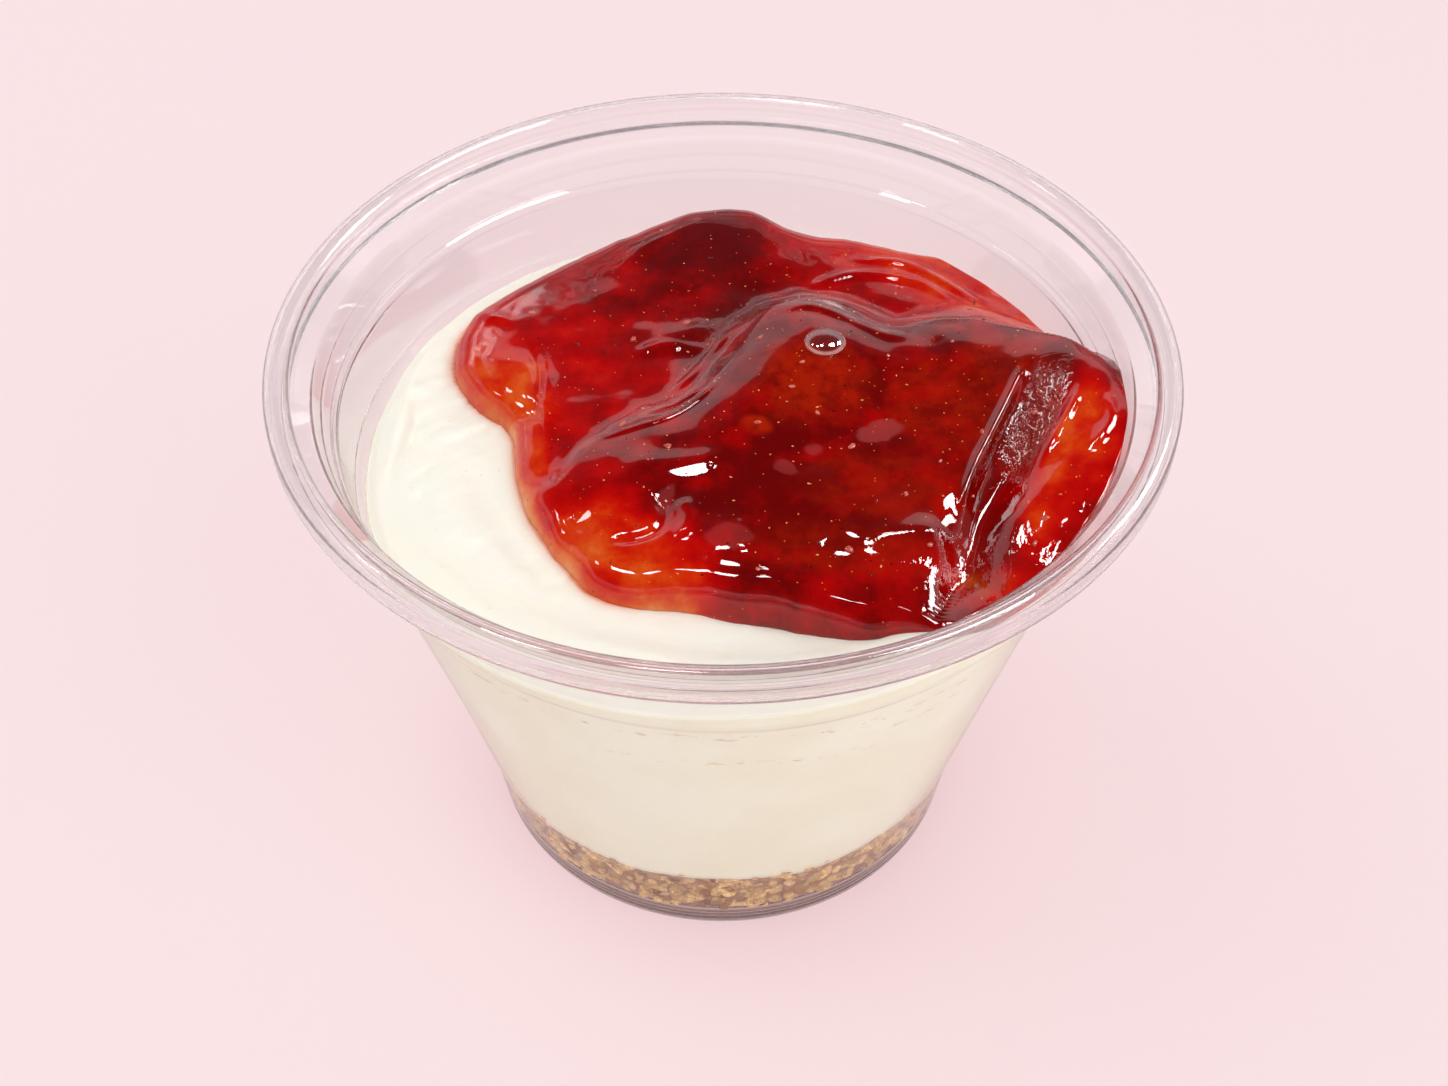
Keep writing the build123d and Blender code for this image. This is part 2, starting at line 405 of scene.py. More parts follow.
def cream_material():
    """Thick yogurt: ivory on top, and at the wall a lighter, yellower beige, painted to make up for
    the shade there, with rows of small tan pores; stained where the compote lies on it."""
    material, n = new_material("thick_yogurt")
    top = rgb(248, 244, 233)
    shade = n.mix(n.span(n.noise(9.0, 3.0), 0.42, 0.7), top, rgb(251, 246, 231))
    shade = n.mix(n.span(n.cells(2.1), 0.03, 0.10, 0.6, 0.0), shade, rgb(236, 220, 186))
    # At the wall the cream gets its own lighter, yellower colour: painted light against the shade
    # behind the plastic.
    side = n.mix(n.span(n.noise(14.0, 2.0), 0.35, 0.65), rgb(254, 250, 232), rgb(250, 243, 222))
    shade = n.mix(n.number("side"), shade, side)
    dash = n.noise(1.7, 2.0, 0.6, stretch=(1.0, 1.0, 3.2))
    pores = n.times(n.span(dash, 0.56, 0.66), n.number("pores"))
    shade = n.mix(pores, shade, rgb(205, 176, 138))
    stain = n.number("stain")
    shade = n.mix(n.span(stain, 0.0, 0.45), shade, rgb(247, 224, 208))
    shade = n.mix(n.span(stain, 0.4, 1.0), shade, rgb(232, 150, 120))
    grain = n.bump(n.noise(0.9, 3.0, 0.6), 0.18, 0.08)
    fine = n.bump(n.noise(3.4, 2.0), 0.6, 0.4, grain)
    cream = n.shader(
        Base_Color=shade,
        Roughness=0.42,
        IOR=1.36,
        Subsurface_Weight=0.22,
        Subsurface_Radius=(1.0, 0.75, 0.5),
        Subsurface_Scale=1.2 * MM,
        Normal=fine,
    )
    n.finish(cream)
    return material


def crumb_material(name, light, dark, toned=False):
    material, n = new_material(name)
    tone = n.number("tone") if toned else n.span(n.noise(1.9, 4.0, 0.6), 0.36, 0.64)
    patch = n.mix(tone, dark, light)
    bits = n.mix(n.span(n.cells(0.55), 0.25, 0.55, 0.0, 0.4), patch, rgb(168, 106, 60))
    specks = n.mix(n.span(n.noise(0.35, 2.0), 0.62, 0.7), bits, rgb(96, 58, 34))
    lit = n.mix(n.span(n.noise(0.6, 2.0), 0.62, 0.75), specks, rgb(238, 205, 164))
    grit = n.bump(n.noise(0.4, 4.0, 0.7), 0.7, 0.18)
    # The crumb glows faintly in its own colour: painted light that brightens it.
    crumb = n.shader(
        Base_Color=lit, Roughness=0.8, Normal=grit, Emission_Color=lit, Emission_Strength=0.12
    )
    n.finish(crumb)
    return material


def jelly_colour(n, depth):
    """What is left of the yogurt's white after light has crossed this many millimetres of red
    fruit jelly."""
    channels = n.add("ShaderNodeCombineColor")
    for channel, (start, fade) in enumerate(((0.78, -0.115), (0.61, -1.44), (0.45, -2.8))):
        left = n.math("EXPONENT", n.times(depth, fade))
        n.link(n.times(left, start), channels.inputs[channel])
    return channels.outputs[0]


def compote_material():
    material, n = new_material("fruit_compote")
    depth = n.number("depth")
    cloud = n.span(n.noise(5.0, 3.0, 0.6), 0.3, 0.7, 0.72, 1.3)
    fibre = n.span(n.noise(1.1, 3.0, 0.65), 0.3, 0.7, 0.88, 1.12)
    lumps = n.span(n.cells(3.6, "SMOOTH_F1"), 0.15, 0.75, 0.78, 1.3)
    depth = n.times(cloud, fibre, lumps, depth)
    shade = jelly_colour(n, n.math("MINIMUM", depth, 15.0))
    pulp = n.times(n.number("pulp"), n.span(n.noise(2.6, 4.0, 0.65), 0.38, 0.62, 0.35, 1.0))
    shade = n.mix(pulp, shade, rgb(168, 28, 0))
    shade = n.mix(n.number("plum"), shade, rgb(84, 12, 14))
    # Pale patches; the one at (24.6, -17.4) is a painted highlight.
    shade = n.mix(n.number("pale"), shade, rgb(158, 62, 62))
    crinkle = n.number("crinkle")
    # Where the skin puckers the red is lifted to a paler tone: a painted sheen.
    shade = n.mix(n.times(crinkle, 0.7), shade, rgb(164, 52, 46))
    # Thin pale curls in the puckered skin: painted highlights.
    painted_highlight_curls = n.math("SUBTRACT", n.noise(1.5, 1.0, 0.4, stretch=(1.0, 0.7, 1.0)), 0.5)
    painted_highlight_curls = n.span(n.math("ABSOLUTE", painted_highlight_curls), 0.012, 0.028, 1.0, 0.0)
    painted_highlight_curls = n.times(painted_highlight_curls, n.span(n.noise(1.1, 1.0), 0.5, 0.56), n.span(crinkle, 0.5, 0.8))
    shade = n.mix(painted_highlight_curls, shade, rgb(246, 222, 218))
    gold = n.math("LESS_THAN", n.cells(1.15), 0.07)
    shade = n.mix(n.times(gold, 0.75), shade, rgb(236, 120, 40))
    dark = n.math("LESS_THAN", n.cells(2.3), 0.06)
    shade = n.mix(n.times(dark, 0.85), shade, rgb(70, 6, 4))
    ripple = n.bump(n.noise(3.2, 2.0, 0.5), 0.08, 0.25)
    pucker = n.times(n.noise(1.5, 3.0, 0.6, stretch=(1.0, 0.6, 1.0)), crinkle)
    ripple = n.bump(pucker, 1.0, 2.2, ripple)
    jelly = n.shader(
        Base_Color=shade,
        Roughness=0.03,
        IOR=1.48,
        Subsurface_Weight=0.12,
        Subsurface_Radius=(1.0, 0.18, 0.1),
        Subsurface_Scale=1.6 * MM,
        Normal=ripple,
    )
    n.finish(jelly)
    return material


def seed_material(name, first, second):
    material, n = new_material(name)
    shade = n.mix(n.span(n.noise(1.3, 2.0), 0.4, 0.6), first, second)
    seed = n.shader(
        Base_Color=shade, Roughness=0.18, IOR=1.42, Subsurface_Weight=0.2, Subsurface_Scale=0.6 * MM
    )
    n.finish(seed)
    return material


# ---- cup ----


def wall_corners():
    """The wall's middle line as (radius, height, fillet)."""
    half = wall / 2
    heel_radius = foot_radius - heel_width
    bead_inside = rim_radius - bead_width
    curl = bead_width / 2 - half - curl_flat
    return [
        (0.0, floor_height - half, 0.0),
        (heel_radius, floor_height - half, sharp_fillet),
        (heel_radius + heel_slant, half, sharp_fillet),
        (foot_radius - half, half, heel_fillet),
        (foot_top_radius - half, foot_height, foot_fillet),
        (body_top_radius - half, cup_height - body_top_drop, shoulder_fillet),
        (band_bottom_radius - half, cup_height - band_bottom_drop, shoulder_fillet),
        (step_radius - half, cup_height - step_drop - step_width, sharp_fillet),
        (step_radius + step_width - half, cup_height - step_drop, sharp_fillet),
        (band_top_radius - half, cup_height - band_top_drop, shoulder_fillet),
        (bead_inside + half, cup_height - bead_lead_drop, sharp_fillet),
        (bead_inside + half, cup_height - half, curl),
        (rim_radius - half, cup_height - half, curl),
        (rim_radius - half, cup_height - bead_height + half, curl),
        (bead_inside + half + curl_gap, cup_height - bead_height + half, 0.0),
    ]


def rounded_line(corners, arc_step=7.0, longest=3.0):
    """A line through corners with each one rounded to its radius."""
    points = [np.array(corners[0][:2])]
    for before, corner, after in zip(corners, corners[1:], corners[2:]):
        p, a, b = np.array(corner[:2]), np.array(before[:2]), np.array(after[:2])
        into, out = (p - a) / np.linalg.norm(p - a), (b - p) / np.linalg.norm(b - p)
        turn = math.acos(np.clip(into @ out, -1, 1))
        cut = corner[2] * math.tan(turn / 2)
        hand = 1.0 if into[0] * out[1] - into[1] * out[0] > 0 else -1.0
        side = np.array([-into[1], into[0]]) * hand
        centre = p - into * cut + side * corner[2]
        steps = max(int(math.degrees(turn) / arc_step) + 1, 2)
        for k in range(steps + 1):
            angle = hand * turn * k / steps
            c, s = math.cos(angle), math.sin(angle)
            arm = -side * corner[2]
            points.append(centre + np.array([arm[0] * c - arm[1] * s, arm[0] * s + arm[1] * c]))
    points.append(np.array(corners[-1][:2]))
    line = [points[0]]
    for a, b in zip(points, points[1:]):
        if np.linalg.norm(b - a) < 1e-6:
            continue
        parts = max(int(np.linalg.norm(b - a) / longest), 1)
        line += [a + (b - a) * k / parts for k in range(1, parts + 1)]
    return np.array(line)


def offset_line(line, distance):
    """A line beside another one, on its right-hand side."""
    steps = np.diff(line, axis=0)
    steps /= np.linalg.norm(steps, axis=1)[:, None]
    before, after = np.vstack([steps[:1], steps]), np.vstack([steps, steps[-1:]])
    middle = before + after
    middle /= np.linalg.norm(middle, axis=1)[:, None]
    stretch = 1.0 / np.maximum((middle * after).sum(1), 0.5)
    right = np.stack([middle[:, 1], -middle[:, 0]], axis=1)
    return line + right * (distance * stretch)[:, None]


wall_line = rounded_line(wall_corners())
wall_outside = offset_line(wall_line, wall / 2)
wall_inside = offset_line(wall_line, -wall / 2)


def inner_radius(height):
    """The cup's inside radius at a height, from just above the floor to the rim."""
    start = int(np.argmin(np.hypot(wall_inside[:, 0] - foot_radius, wall_inside[:, 1] - 1.0)))
    end = int(np.argmax(wall_inside[:, 1] > cup_height - bead_lead_drop))
    rising = wall_inside[start:end]
    return np.interp(height, rising[:, 1], rising[:, 0])


def make_cup():
    """The wall turned about the axis, with the slight waviness of thin formed plastic."""
    end = wall_line[-1] - wall_line[-2]
    tip = wall_line[-1] + end / np.linalg.norm(end) * wall / 2
    outline = np.vstack([wall_outside[1:], tip, wall_inside[1:][::-1]])
    angles, c, s = round_steps(cup_sectors)
    r, z = outline[:, None, 0], outline[:, None, 1]
    lean = smooth_step((z - foot_height) / 12.0) * smooth_step((cup_height - bead_height - z) / 6.0)
    wobble = np.sin(3 * angles + z / 9.0) + 0.6 * np.sin(7 * angles - z / 5.0)
    r = r - cup_wobble * lean * (1.6 + wobble)
    rings = np.stack([r * c, r * s, z + 0 * c], axis=2)
    under, above = (0, 0, wall_outside[0, 1]), (0, 0, wall_inside[0, 1])
    return closed_skin("cup_shell", clear_plastic(), rings, under, above)


# ---- yogurt ----


def crumb_top(x, y):
    broad = np.sin(x / 4.1 + 1.3) * np.cos(y / 5.2)
    return crumb_height + crumb_wave * (broad + 0.6 * np.sin(x / 6.0 + y / 2.9))


def yogurt_level(x, y):
    """The yogurt's upper surface without its finest detail."""
    radius = np.hypot(x, y)
    bearing = np.degrees(np.arctan2(y, x))
    lean = np.cos(np.radians(bearing + 35.0))
    climb = (1.6 + 1.6 * lean) * smooth_step((radius - 28.0) / 10.0)
    off_smear = ((radius - 35.8) / 1.7) ** 2 + (turn_between(bearing, 160.0) / 24.0) ** 2
    roll_side = np.exp(-((turn_between(bearing, 188.0) / 24.0) ** 2))
    roll = 2.4 * roll_side * smooth_step((radius - inner_radius(yogurt_height) + 1.9) / 1.9)
    return yogurt_height + climb + np.exp(-off_smear) - roll


smear_marks = [
    # route in plan, height, half width
    ([(-32.5, 20.5), (-34.9, 12.0), (-35.4, 5.0), (-36.0, -2.0), (-36.6, -8.0)], 0.4, 0.75),
    ([(-34.0, 6.0), (-34.2, 1.5), (-35.2, -3.0), (-35.6, -6.5)], -0.28, 0.4),
    ([(-31.0, 7.0), (-30.0, 0.0), (-29.5, -7.0), (-26.0, -14.0), (-20.0, -21.0)], 0.35, 2.4),
    ([(-33.0, -6.0), (-31.0, -13.0), (-27.0, -19.0)], -0.28, 1.5),
    ([(-27.0, -2.0), (-25.0, -9.0), (-21.0, -16.0), (-15.0, -23.0)], -0.22, 1.3),
    ([(-23.5, -22.0), (-15.0, -28.5), (-4.0, -31.5), (8.0, -32.5)], 0.3, 1.8),
    ([(-31.5, -16.0), (-25.0, -24.0), (-16.0, -31.0)], 0.22, 1.2),
]


def ridges(x, y, lines, fade):
    """Ridges and creases along routes, each of which fades in and out over 1/fade of its length."""
    relief = np.zeros(np.shape(x))
    for route, height, width in lines:
        away, share = beside(smooth_route(route, 8), x, y)
        ends = smooth_step(share * fade) * smooth_step((1.0 - share) * fade)
        relief += height * ends * np.exp(-((away / width) ** 2))
    return relief


def yogurt_detail(x, y):
    relief = ridges(x, y, smear_marks, 5.0)
    slant = 0.45 * rough((x + y) * 0.45, (x - y) * 1.5, 7.0, 2.6, 2)
    creased = bump(x, y, (-30.0, 5.0), 5.0, 9.0, -10)
    creased = creased + 0.6 * bump(x, y, (-22.0, -17.0), 7.0, 4.0, -40)
    return 1.5 * relief + 0.14 * rough(x, y, 3.0, 6.0) + creased * slant


def yogurt_top(x, y):
    return yogurt_level(x, y) + yogurt_detail(x, y)


# Rows of pores against the wall: height, half width, first and last bearing.
pore_rows = [
    (46.4, 0.45, -150, -20),
    (40.8, 0.3, -115, -60),
    (43.8, 0.3, -75, -30),
]


def make_yogurt():
    _, c, s = round_steps(filling_sectors)
    edge = inner_radius(yogurt_height) + 0 * c
    for _ in range(6):
        edge = inner_radius(yogurt_level(edge * c, edge * s)) + into_wall
    rounding = 0.5
    rings = []
    for share in np.linspace(0.02, 1.0, 92) ** 0.8:
        r = (edge - rounding) * share
        rings.append((r * c, r * s, yogurt_top(r * c, r * s)))
    lip = rings[-1][2]
    for turn in np.radians((22.0, 45.0, 68.0)):
        r = edge - rounding + rounding * math.sin(turn)
        rings.append((r * c, r * s, lip - rounding * (1 - math.cos(turn))))
    top_rings = len(rings)
    bottom = crumb_top((foot_top_radius - 0.5) * c, (foot_top_radius - 0.5) * s)
    bottom = bottom + 0.35 * rough(c * 12, s * 12, 0.0, 1.6)
    for share in np.linspace(0.0, 1.0, 84):
        z = (lip - rounding) * (1 - share) + bottom * share
        r = inner_radius(z) + into_wall
        rings.append((r * c, r * s, z))
    side_rings = len(rings)
    for share in (0.985, 0.95, 0.85, 0.6, 0.3):
        r = (inner_radius(bottom) + into_wall) * share
        rings.append((r * c, r * s, bottom))
    grid = np.array(rings).transpose(0, 2, 1)
    middle = (0, 0, float(yogurt_top(0.0, 0.0)))
    yogurt = closed_skin("yogurt_filling", cream_material(), grid, middle, (0, 0, crumb_height))
    z = grid[..., 2]
    ring = np.arange(len(rings))[:, None] + 0 * z
    # Marks the side against the wall, which the material paints lighter against its shade.
    side = smooth_step((ring - top_rings + 4) / 3.0) * (ring < side_rings)
    bearing = np.degrees(np.arctan2(grid[..., 1], grid[..., 0]))
    drift = 0.7 * np.sin(np.radians(bearing * 3 + 40)) + 0.4 * np.sin(np.radians(bearing * 7))
    rows = np.zeros(z.shape)
    for height, width, start, end in pore_rows:
        within = smooth_step((bearing - start) / 12.0) * smooth_step((end - bearing) / 12.0)
        rows += within * np.exp(-(((z - height - drift) / width) ** 2))
    x, y = grid[..., 0], grid[..., 1]
    rim_gap = compote_outside(x, y)
    front = smooth_step((bearing + 118.0) / 14.0) * smooth_step((-30.0 - bearing) / 14.0)
    stain = np.exp(-np.maximum(rim_gap, 0.0) / 0.55) * (ring < top_rings) * (1.0 - 0.9 * front)
    for name, values in (("side", side), ("pores", np.clip(rows, 0, 1) * side), ("stain", stain)):
        store(yogurt, name, np.concatenate([values.ravel(), [0.0, 0.0]]))
    return yogurt


# ---- compote ----

compote_centre = (4.0, 3.0)
compote_reach = [
    (59.5, 35.4), (80.8, 34.4), (93.0, 37.4), (109.0, 37.0), (130.0, 36.6), (144.0, 37.6),
    (154.0, 37.9), (165.0, 35.8), (173.0, 31.8), (181.0, 27.5), (197.0, 27.4), (224.0, 29.1),
    (237.0, 30.5), (257.0, 28.5), (277.0, 30.4), (290.0, 34.1),
]
wall_side_reach = 43.0
wall_side_ease = 21.5

# Where the big fold's edge runs, with the height of its crest: up from the front left, along the
# back of the fold and over to the wall on the right.
fold_crest = [
    (-16.4, -14.6, 52.6), (-17.6, -10.6, 53.0), (-17.3, -6.4, 53.3), (-15.6, -2.6, 53.7),
    (-12.4, -0.6, 54.2), (-8.8, 0.6, 54.9), (-5.0, 1.6, 55.7), (-2.2, 3.6, 56.5),
    (0.2, 6.4, 57.2), (2.2, 9.2, 57.8), (4.0, 12.6, 58.3), (6.4, 15.8, 58.6),
    (9.6, 17.0, 58.7), (12.6, 16.2, 58.6), (15.6, 13.8, 58.4), (18.0, 12.6, 58.2),
    (20.9, 12.4, 58.2), (24.0, 13.4, 58.6), (27.3, 12.8, 59.2), (30.6, 10.9, 59.9),
    (35.7, 7.7, 60.9), (38.4, 5.4, 61.2), (41.2, 2.2, 61.4), (44.0, -2.0, 61.4),
]
crest_line = smooth_route(fold_crest)
crest_round = 7.5
crest_round_drop = 1.5
crest_raise = 0.7
compote_sectors = 400
compote_rings = 150


def crest_y(x):
    return 16.5 - np.where(x < 15.0, 0.0239, 0.0155) * (x - 15.0) ** 2


def crest_z(x):
    rise = smooth_step((x + 18.0) / 25.0)
    to_wall = smooth_step((x - 22.0) / 19.0)
    return yogurt_height + 3.8 + 5.1 * rise + 3.1 * to_wall


valley = smooth_route([
    (35.5, 3.5), (34.2, 0.0), (32.6, -4.0), (30.4, -8.5),
    (28.0, -13.0), (25.8, -17.5), (24.6, -22.0), (24.0, -29.0),
])

# Narrow ridges and creases on the compote: route in plan, height, half width.
compote_lines = [
    ([(-22.6, 16.0), (-21.2, 12.0), (-20.5, 8.0), (-20.6, 2.5), (-20.9, -2.0), (-21.6, -7.0)],
     -0.4, 0.7),
    ([(-21.4, 15.0), (-19.8, 9.0), (-19.6, 3.0), (-19.9, -3.0), (-20.2, -8.0), (-18.8, -15.0)],
     0.38, 1.1),
    ([(-29.5, 13.5), (-29.2, 17.5), (-26.5, 19.4), (-23.5, 17.4)], 0.3, 0.7),
    ([(-14.9, -2.8), (-10.0, -1.4), (-5.6, -0.2), (-2.6, 1.8), (-0.2, 4.8)], 0.28, 0.35),
    ([(5.5, 13.5), (9.0, 14.4), (12.8, 13.2), (15.8, 11.3), (18.5, 10.0), (22.0, 10.2)], 0.3, 0.8),
    ([(3.2, 19.0), (8.0, 21.0), (13.0, 20.5), (17.0, 17.8), (22.0, 17.0), (28.0, 16.6)], 0.55, 0.8),
    ([(9.0, 24.0), (15.0, 27.5), (22.0, 26.5), (27.5, 21.5)], 0.35, 0.7),
    ([(14.0, 30.5), (21.0, 30.0), (25.5, 26.5), (31.0, 20.5)], 0.3, 0.6),
    ([(32.4, 3.0), (31.3, 0.6), (28.9, -4.2), (26.4, -9.2), (24.9, -13.4), (24.2, -19.0)],
     0.8, 0.6),
    ([(38.0, -0.6), (36.1, -4.8), (33.8, -8.6), (30.8, -12.8)], 0.6, 0.7),
    ([(39.6, -2.6), (40.2, -6.2), (38.6, -9.6), (36.4, -10.8)], 0.35, 0.6),
    ([(-8.0, -11.0), (-6.2, -13.6), (-6.6, -16.2), (-9.4, -17.4), (-13.0, -16.8)], -0.4, 0.6),
    ([(-4.4, -12.4), (-3.6, -15.2), (-4.6, -18.4)], 0.5, 0.9),
    ([(23.6, -15.0), (24.6, -19.5), (23.2, -24.5)], 0.12, 0.8),
    ([(-3.5, -20.0), (4.0, -22.2), (12.0, -24.0), (19.0, -25.6)], 0.12, 0.8),
    ([(-1.5, 13.0), (-6.0, 14.0), (-10.5, 12.4)], 0.3, 0.9),
    ([(-11.5, -7.2), (-7.5, -7.7), (-3.0, -8.0), (1.0, -7.8)], 0.42, 1.7),
    ([(-6.2, 5.0), (-3.4, 8.0), (-1.2, 12.0), (1.8, 16.5)], 0.4, 0.8),
    ([(14.0, -17.8), (17.0, -18.2), (20.0, -18.3), (23.0, -18.5)], 0.42, 1.6),
    ([(6.8, 18.6), (11.0, 19.0), (15.0, 16.6), (19.0, 15.0), (24.0, 15.6), (30.0, 13.6),
      (36.0, 9.6)], 0.35, 0.5),
]

# Rounded lumps of fruit under the surface: place, spread, other spread, turn, height.
compote_lumps = [
    ((-25.4, 9.6), 3.6, 4.6, 0, 0.5),
    ((-24.4, 3.4), 2.6, 2.6, 0, 0.35),
    ((8.6, 4.6), 5.4, 5.0, 0, 0.8),
    ((11.1, 8.0), 3.0, 2.6, 0, 0.3),
    ((-11.5, -12.0), 4.0, 3.0, -20, 0.5),
    ((-9.0, -18.4), 4.2, 1.9, -14, 0.4),
    ((0.4, -18.6), 2.6, 1.6, -18, 0.5),
    ((16.5, -4.3), 2.6, 1.5, 18, -0.2),
    ((16.5, -14.5), 4.4, 3.4, 0, 0.35),
    ((11.0, -18.4), 1.8, 1.5, 0, 0.35),
    ((20.8, -17.8), 2.2, 1.7, 0, 0.5),
    ((8.0, -12.5), 3.4, 2.6, 0, 0.3),
    ((3.5, -3.8), 1.6, 1.3, -30, 0.12),
    ((37.2, -12.4), 3.6, 5.6, -20, 0.5),
    ((29.6, -17.8), 2.5, 2.5, 0, 0.9),
    ((36.6, 2.4), 3.0, 2.4, 0, 0.4),
    ((-4.0, 16.4), 3.0, 1.6, 20, 0.5),
    ((2.2, 15.4), 1.6, 1.0, 35, 0.55),
    ((-13.0, 20.0), 6.0, 5.0, 0, 0.35),
    ((28.0, 19.0), 5.0, 2.6, -40, 0.6),
]


def back_layer(x, y):
    """The thinner sheet of compote behind and to the left of the big fold."""
    peak = 2.3 * bump(x, y, (-1.5, 36.0), 7.5)
    apron = smooth_step((-16.0 - x) / 3.0) * smooth_step((-2.0 - y) / 6.0)
    low_front = smooth_step((-16.0 - y) / 5.0)
    cx, cy = compote_centre
    bearing = np.degrees(np.arctan2(y - cy, x - cx)) % 360.0
    open_side = smooth_step((bearing - 150.0) / 15.0) * smooth_step((296.0 - bearing) / 15.0)
    margin = open_side * (1.0 - smooth_step(-compote_outside(x, y) / 6.0))
    lower = np.maximum(0.9 * np.maximum(apron, low_front), 1.5 * margin)
    return yogurt_height + 3.1 + peak - lower


def compote_shape(x, y):
    """The compote's upper surface, before its edge is rounded."""
    front = crest_z(x) - 0.135 * np.maximum(crest_y(x) - y, 0.0)
    away, share = beside(crest_line, x, y)
    back = back_layer(x, y)
    wide = 1.8 + 6.4 * smooth_step((share - 0.1) / 0.26) + 4.0 * smooth_step((share - 0.72) / 0.25)
    cover = (1.0 - np.clip(-away / wide, 0.0, 1.0)) ** 2
    crest_drop = crest_round_drop * np.clip(1.0 - away / crest_round, 0.0, 1.0) ** 2
    front = front + crest_raise - np.where(away > 0, crest_drop, crest_round_drop)
    return back + (front - back) * cover


def compote_relief(x, y):
    relief = ridges(x, y, compote_lines, 4.0)
    for place, spread, other, turn, height in compote_lumps:
        relief += height * bump(x, y, place, spread, other, turn)
    away, share = beside(valley, x, y)
    ends = smooth_step(share * 4.0)
    relief -= 2.6 * ends * np.exp(-((away / 2.3) ** 2))
    relief += 0.14 * rough(x, y, 8.0, 5.5, 2)
    lively = np.clip(bump(x, y, (20.0, -18.0), 9.0, 6.0) + bump(x, y, (0.0, 17.0), 6.0, 4.0), 0, 1)
    relief += lively * 0.3 * rough(x, y, 4.0, 3.4, 1)
    by_wall = bump(x, y, (29.0, -22.0), 5.0, 4.0) + bump(x, y, (36.0, -10.0), 4.0, 8.0, -20)
    return relief + np.clip(by_wall, 0, 1) * 0.26 * rough(x, y, 2.0, 3.2, 2)


def crinkled(x, y):
    """Where the jelly's skin puckers, which the material also lifts with a painted sheen and
    painted
    highlight curls: the valley's upper half, near the front and on the tongue.
    """
    away, share = beside(valley, x, y)
    ends = smooth_step(share * 6.0) * smooth_step((0.5 - share) * 6.0)
    upper = ends * np.exp(-(((away + 0.3) / 2.0) ** 4))
    front = 0.08 * bump(x, y, (25.0, -22.0), 5.0, 3.0, -14)
    tongue = 0.14 * bump(x, y, (3.0, 17.0), 4.0, 3.0)
    return np.clip(upper + front + tongue, 0.0, 1.0)


def reach(bearing):
    """How far the compote reaches from its centre at each bearing."""
    table = np.array(compote_reach)
    first, last = table[0, 0], table[-1, 0]
    turned = first + (bearing - first) % 360.0
    ends = np.vstack([table[0] + (-20, 1), table, table[-1] + (20, 3)])
    line = smooth_route(ends, 10)
    order = np.argsort(line[:, 0])
    edge = np.interp(turned, line[order, 0], line[order, 1])
    past_last, before_first = turned - last, 360.0 + first - turned
    start = np.where(past_last < before_first, table[-1, 1], table[0, 1])
    ease = smooth_step(np.minimum(past_last, before_first) / wall_side_ease)
    to_wall = start + (wall_side_reach - start) * ease
    return np.where(turned >= last, to_wall, edge)


def compote_outside(x, y):
    """How far outside the compote's edge a place lies, in millimetres."""
    cx, cy = compote_centre
    bearing = np.degrees(np.arctan2(y - cy, x - cx))
    return np.hypot(x - cx, y - cy) - reach(bearing)


def compote_top(x, y, fine=True):
    surface = compote_shape(x, y)
    if fine:
        surface = surface + compote_relief(x, y)
    return np.maximum(surface, yogurt_level(x, y) + 0.7)


def make_compote():
    cx, cy = compote_centre
    bearing = np.arange(compote_sectors) * 360.0 / compote_sectors
    ux, uy = np.cos(np.radians(bearing)), np.sin(np.radians(bearing))

    def at(s):
        return cx + s * ux, cy + s * uy

    def to_wall(height):
        limit = inner_radius(height) + into_wall
        along = cx * ux + cy * uy
        return -along + np.sqrt(np.maximum(along**2 + limit**2 - cx**2 - cy**2, 0.0))

    end = reach(bearing)
    wave = 0.35 * rough(ux * 20, uy * 20, 0.0, 3.5)
    end = end + wave
    depth = compote_top(*at(end * 0.9), fine=False) - yogurt_level(*at(end))
    shoulder = end - 1.1 * np.clip(depth, 0.4, 2.6) - 0.7
    for _ in range(10):
        shoulder = np.minimum(shoulder, to_wall(compote_top(*at(shoulder), fine=False)))
    rings = []
    for share in np.linspace(1.0 / compote_rings, 1.0, compote_rings):
        s = shoulder * (1.0 - (1.0 - share) ** 1.12)
        rings.append((*at(s), compote_top(*at(s))))
    top = rings[-1][2]
    edge = shoulder
    for turn in np.radians(np.linspace(8.0, 90.0, 14)):
        s = shoulder + (end - shoulder) * math.sin(turn)
        base = yogurt_level(*at(np.minimum(s, to_wall(top)))) - 0.15
        height = base + (top - base) * np.cos(turn) ** 0.9
        edge = np.minimum(s, to_wall(height))
        rings.append((*at(edge), height))
    for share in (0.97, 0.8, 0.5, 0.2):
        s = edge * share
        rings.append((*at(s), yogurt_level(*at(s)) - 0.4))
    grid = np.array(rings).transpose(0, 2, 1)
    upper = (cx, cy, float(compote_top(cx, cy)))
    lower = (cx, cy, float(yogurt_level(cx, cy)) - 0.4)
    compote = closed_skin("fruit_compote", compote_material(), grid, upper, lower)
    x, y, z = grid[..., 0], grid[..., 1], grid[..., 2]
    store_compote_colour(compote, x, y, z)
    return compote


